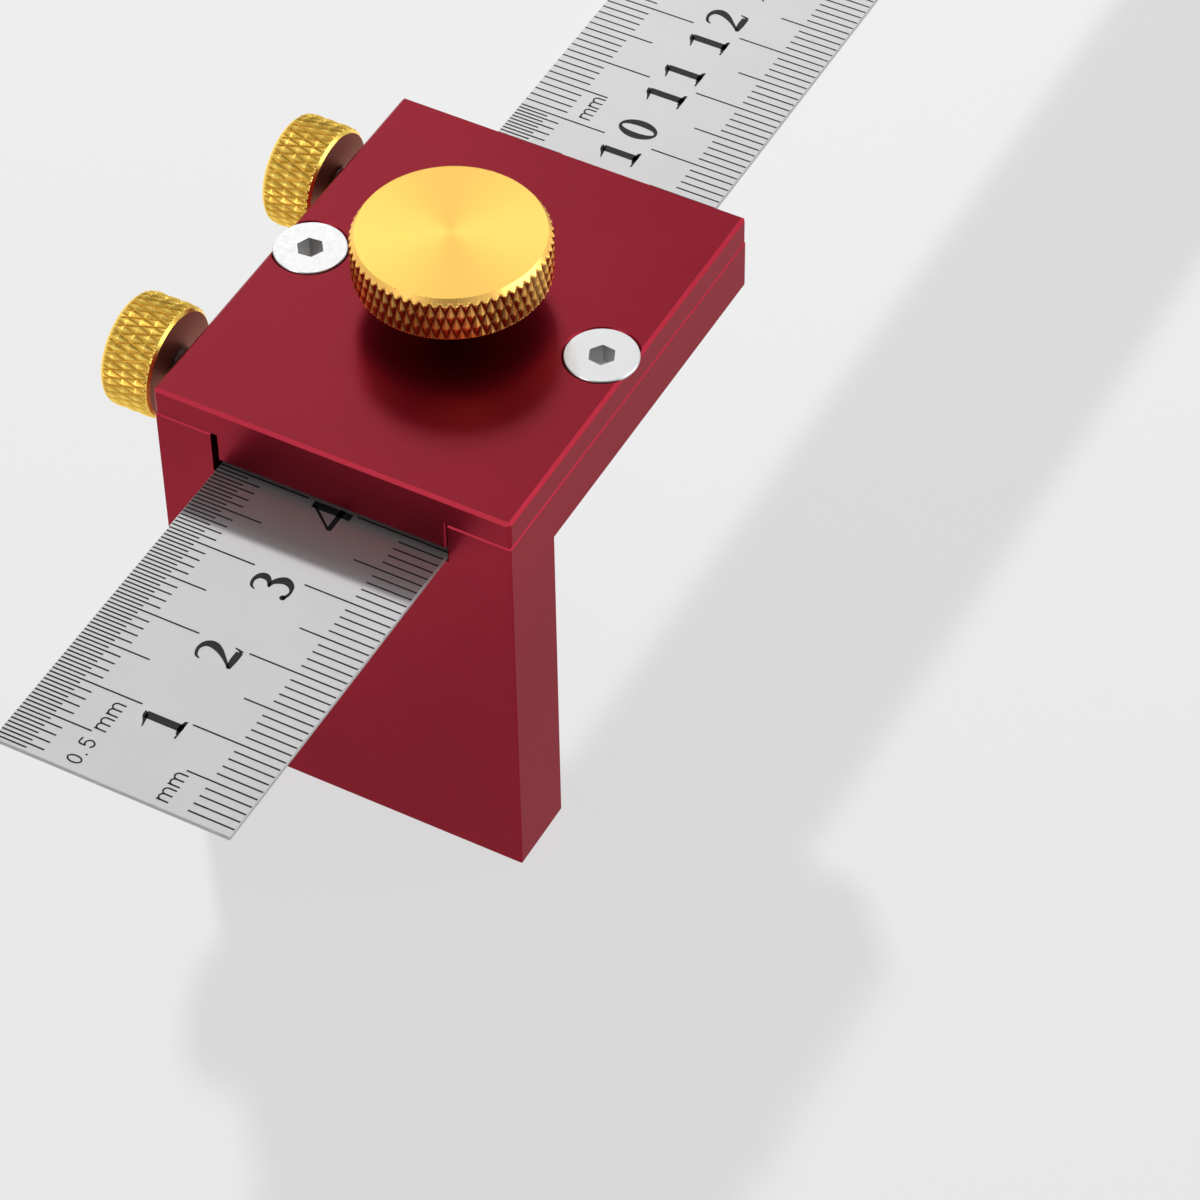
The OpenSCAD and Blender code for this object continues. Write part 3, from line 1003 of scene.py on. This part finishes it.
def camera_axes(settings):
    """The camera's right, up and back directions, from its azimuth, elevation and roll."""
    azimuth, elevation = settings.azimuth, settings.elevation
    back = Vector((math.sin(azimuth) * math.cos(elevation),
                   -math.cos(azimuth) * math.cos(elevation), math.sin(elevation)))
    level = Vector((0, 0, 1)).cross(back).normalized()
    turn = Matrix.Rotation(settings.roll, 3, back)
    right = turn @ level
    return right, back.cross(right), back


def add_camera(scene, settings):
    """The camera at the photograph's own viewing angle."""
    right, up, back = camera_axes(settings)
    camera = bpy.data.objects.new("Camera", bpy.data.cameras.new("Camera"))
    turn = Matrix((right, up, back)).transposed().to_4x4()
    camera.matrix_world = Matrix.Translation(Vector(settings.aim) + back * settings.distance) @ turn
    camera.data.sensor_width = 36
    camera.data.lens = settings.lens
    camera.data.clip_start = 0.01
    camera.data.clip_end = 50
    scene.collection.objects.link(camera)
    scene.camera = camera


def area_lamp(name, way, distance, size, power, target):
    """A square soft lamp that way from the target and turned towards it. Reflections don't show it."""
    lamp = bpy.data.lights.new(name, "AREA")
    lamp.size = size
    lamp.energy = power
    stand = bpy.data.objects.new(name, lamp)
    way = Vector(way).normalized()
    stand.location = Vector(target) + way * distance
    stand.rotation_euler = way.to_track_quat("Z", "Y").to_euler()
    stand.visible_glossy = False
    bpy.context.scene.collection.objects.link(stand)


def pale_world(settings):
    """World that the camera and polished metal see as pale, and that lights the rest evenly.

    Metal sees soft rounds in it: a dark one in front, where the photographer stands, another high
    above the back, a small bright one near the main lamp, and two larger bright ones low on the
    right and at the left front. Each one's strength falls from its inner angle to its outer one, by
    the cosine of the angle to its middle.
    """
    world = bpy.data.worlds.new("Pale surroundings")
    world.use_nodes = True
    tree = world.node_tree
    background = tree.nodes["Background"]
    background.inputs["Color"].default_value = (*settings.surroundings, 1)
    path = add(tree, "ShaderNodeLightPath").outputs
    way = add(tree, "ShaderNodeTexCoord").outputs["Generated"]
    # Middle of each round, its inner and outer angle in degrees, and what it adds to the brightness
    rounds = ((DARK_FRONT_WAY, 14, 32, -settings.dark_front),
              (DARK_ABOVE_WAY, 8, 26, -settings.dark_above),
              (MAIN_GLOW_WAY, 4, 7.5, settings.glow),
              (SIDE_GLOW_WAY, 17, 30, settings.side_glow),
              (FRONT_GLOW_WAY, 6, 14, settings.front_glow))
    shine = 1.0
    for middle, inner, outer, strength in rounds:
        nearness = vector_maths(tree, "DOT_PRODUCT", way, middle)
        spot = add(tree, "ShaderNodeMapRange",
                   [("Value", nearness), ("From Min", math.cos(math.radians(outer))),
                    ("From Max", math.cos(math.radians(inner))), ("To Max", strength)],
                   interpolation_type="SMOOTHSTEP")
        shine = maths(tree, "ADD", shine, spot.outputs["Result"])
    glossy = mixed(tree, path["Is Glossy Ray"], settings.ambient, shine)
    seen = maths(tree, "MAXIMUM", path["Is Camera Ray"], path["Is Transmission Ray"])
    tree.links.new(mixed(tree, seen, glossy, 1.0), background.inputs["Strength"])
    bpy.context.scene.world = world


def pale_floor(settings):
    """Matt pale floor with a faint mottling.

    For the camera and for reflections, a share of it is plain pale and takes no shadow, which keeps
    the object's shadow light. Reflections show that share brighter.
    """
    colour = settings.floor
    material, tree, shader = finish("Pale floor", 0.0, colour, Roughness=0.8, Specular_IOR_Level=0.1)
    mottle = noise(tree, object_place(tree), scale=9.0, detail=3.0)
    clouded(tree, shader, mottle, colour, contrast=0.015)
    path = add(tree, "ShaderNodeLightPath").outputs
    camera_share = maths(tree, "MULTIPLY", path["Is Camera Ray"], settings.floor_seen)
    polished = maths(tree, "MAXIMUM", path["Is Glossy Ray"], path["Is Transmission Ray"])
    share = maths(tree, "MULTIPLY_ADD", polished, settings.floor_mirrored, camera_share)
    bright = maths(tree, "MULTIPLY_ADD", polished, settings.floor_extra, 1.0)
    plain = add(tree, "ShaderNodeEmission", [("Color", (*colour, 1)), ("Strength", bright)])
    mix = add(tree, "ShaderNodeMixShader", [(0, share), (1, shader.outputs[0]), (2, plain.outputs[0])])
    tree.links.new(mix.outputs[0], tree.nodes["Material Output"].inputs["Surface"])
    return material


def floor_points(centre, height, reach, steps):
    """Round flat sheet: a ring of points at that reach, and triangles from it to its middle."""
    angle = np.arange(steps) * TURN / steps
    x, y = centre[0] + reach * np.cos(angle), centre[1] + reach * np.sin(angle)
    ring = np.stack((x, y, np.full(steps, height)), -1)
    points = np.vstack((ring, (centre[0], centre[1], height)))
    step = np.arange(steps)
    return points, np.stack((step, (step + 1) % steps, np.full(steps, steps)), -1)


class RULESTOP_OT_stage(bpy.types.Operator):
    """Sets up the camera, the lamps, the surroundings and the floor"""

    bl_idname = "rule_stop.stage"
    bl_label = "Stage"

    def execute(self, context):
        settings = context.scene.rule_stop_stage
        add_camera(context.scene, settings)
        middle = (0, (block_low.y + block_high.y) / 2, cover_high.z)
        area_lamp("Main lamp", MAIN_LAMP_WAY, distance=1.0, size=0.055, power=settings.key, target=middle)
        area_lamp("Side lamp", SIDE_LAMP_WAY, distance=0.9, size=0.40, power=settings.side, target=middle)
        pale_world(settings)
        centre = (cad_low + cad_high) / 2
        sheet = floor_points((centre.x, centre.y), cad_low.z - FLOOR_GAP, FLOOR_REACH, FLOOR_STEPS)
        floor = mesh_piece("floor", *sheet, [pale_floor(settings)])
        context.scene.view_settings.view_transform = "Standard"
        return {"FINISHED"}


class RULESTOP_PT_panel(bpy.types.Panel):
    """Lists the settings and the steps of the rule stop"""

    bl_idname = "RULESTOP_PT_panel"
    bl_label = "Rule stop"
    bl_space_type = "VIEW_3D"
    bl_region_type = "UI"
    bl_category = "Rule stop"

    def draw(self, context):
        layout = self.layout
        for group in (context.scene.rule_stop_knobs, context.scene.rule_stop_scales,
                      context.scene.rule_stop_colours, context.scene.rule_stop_stage):
            box = layout.box()
            for name in group.__annotations__:
                box.prop(group, name)
        for operator in STEPS:
            layout.operator(operator.bl_idname)


STEPS = (RULESTOP_OT_block, RULESTOP_OT_screws, RULESTOP_OT_rule, RULESTOP_OT_scales, RULESTOP_OT_knobs,
         RULESTOP_OT_studs, RULESTOP_OT_pads, RULESTOP_OT_stage)
GROUPS = {"rule_stop_knobs": RULESTOP_PG_knobs, "rule_stop_scales": RULESTOP_PG_scales,
          "rule_stop_colours": RULESTOP_PG_colours, "rule_stop_stage": RULESTOP_PG_stage}


def register():
    for name, group in GROUPS.items():
        bpy.utils.register_class(group)
        setattr(bpy.types.Scene, name, PointerProperty(type=group))
    for operator in STEPS:
        bpy.utils.register_class(operator)
    bpy.utils.register_class(RULESTOP_PT_panel)


def unregister():
    bpy.utils.unregister_class(RULESTOP_PT_panel)
    for operator in reversed(STEPS):
        bpy.utils.unregister_class(operator)
    for name, group in reversed(GROUPS.items()):
        delattr(bpy.types.Scene, name)
        bpy.utils.unregister_class(group)


def main():
    register()
    bpy.ops.rule_stop.block()
    bpy.ops.rule_stop.screws()
    bpy.ops.rule_stop.rule()
    bpy.ops.rule_stop.scales()
    bpy.ops.rule_stop.knobs()
    bpy.ops.rule_stop.studs()
    bpy.ops.rule_stop.pads()
    bpy.ops.rule_stop.stage()


if __name__ == "__main__":
    main()
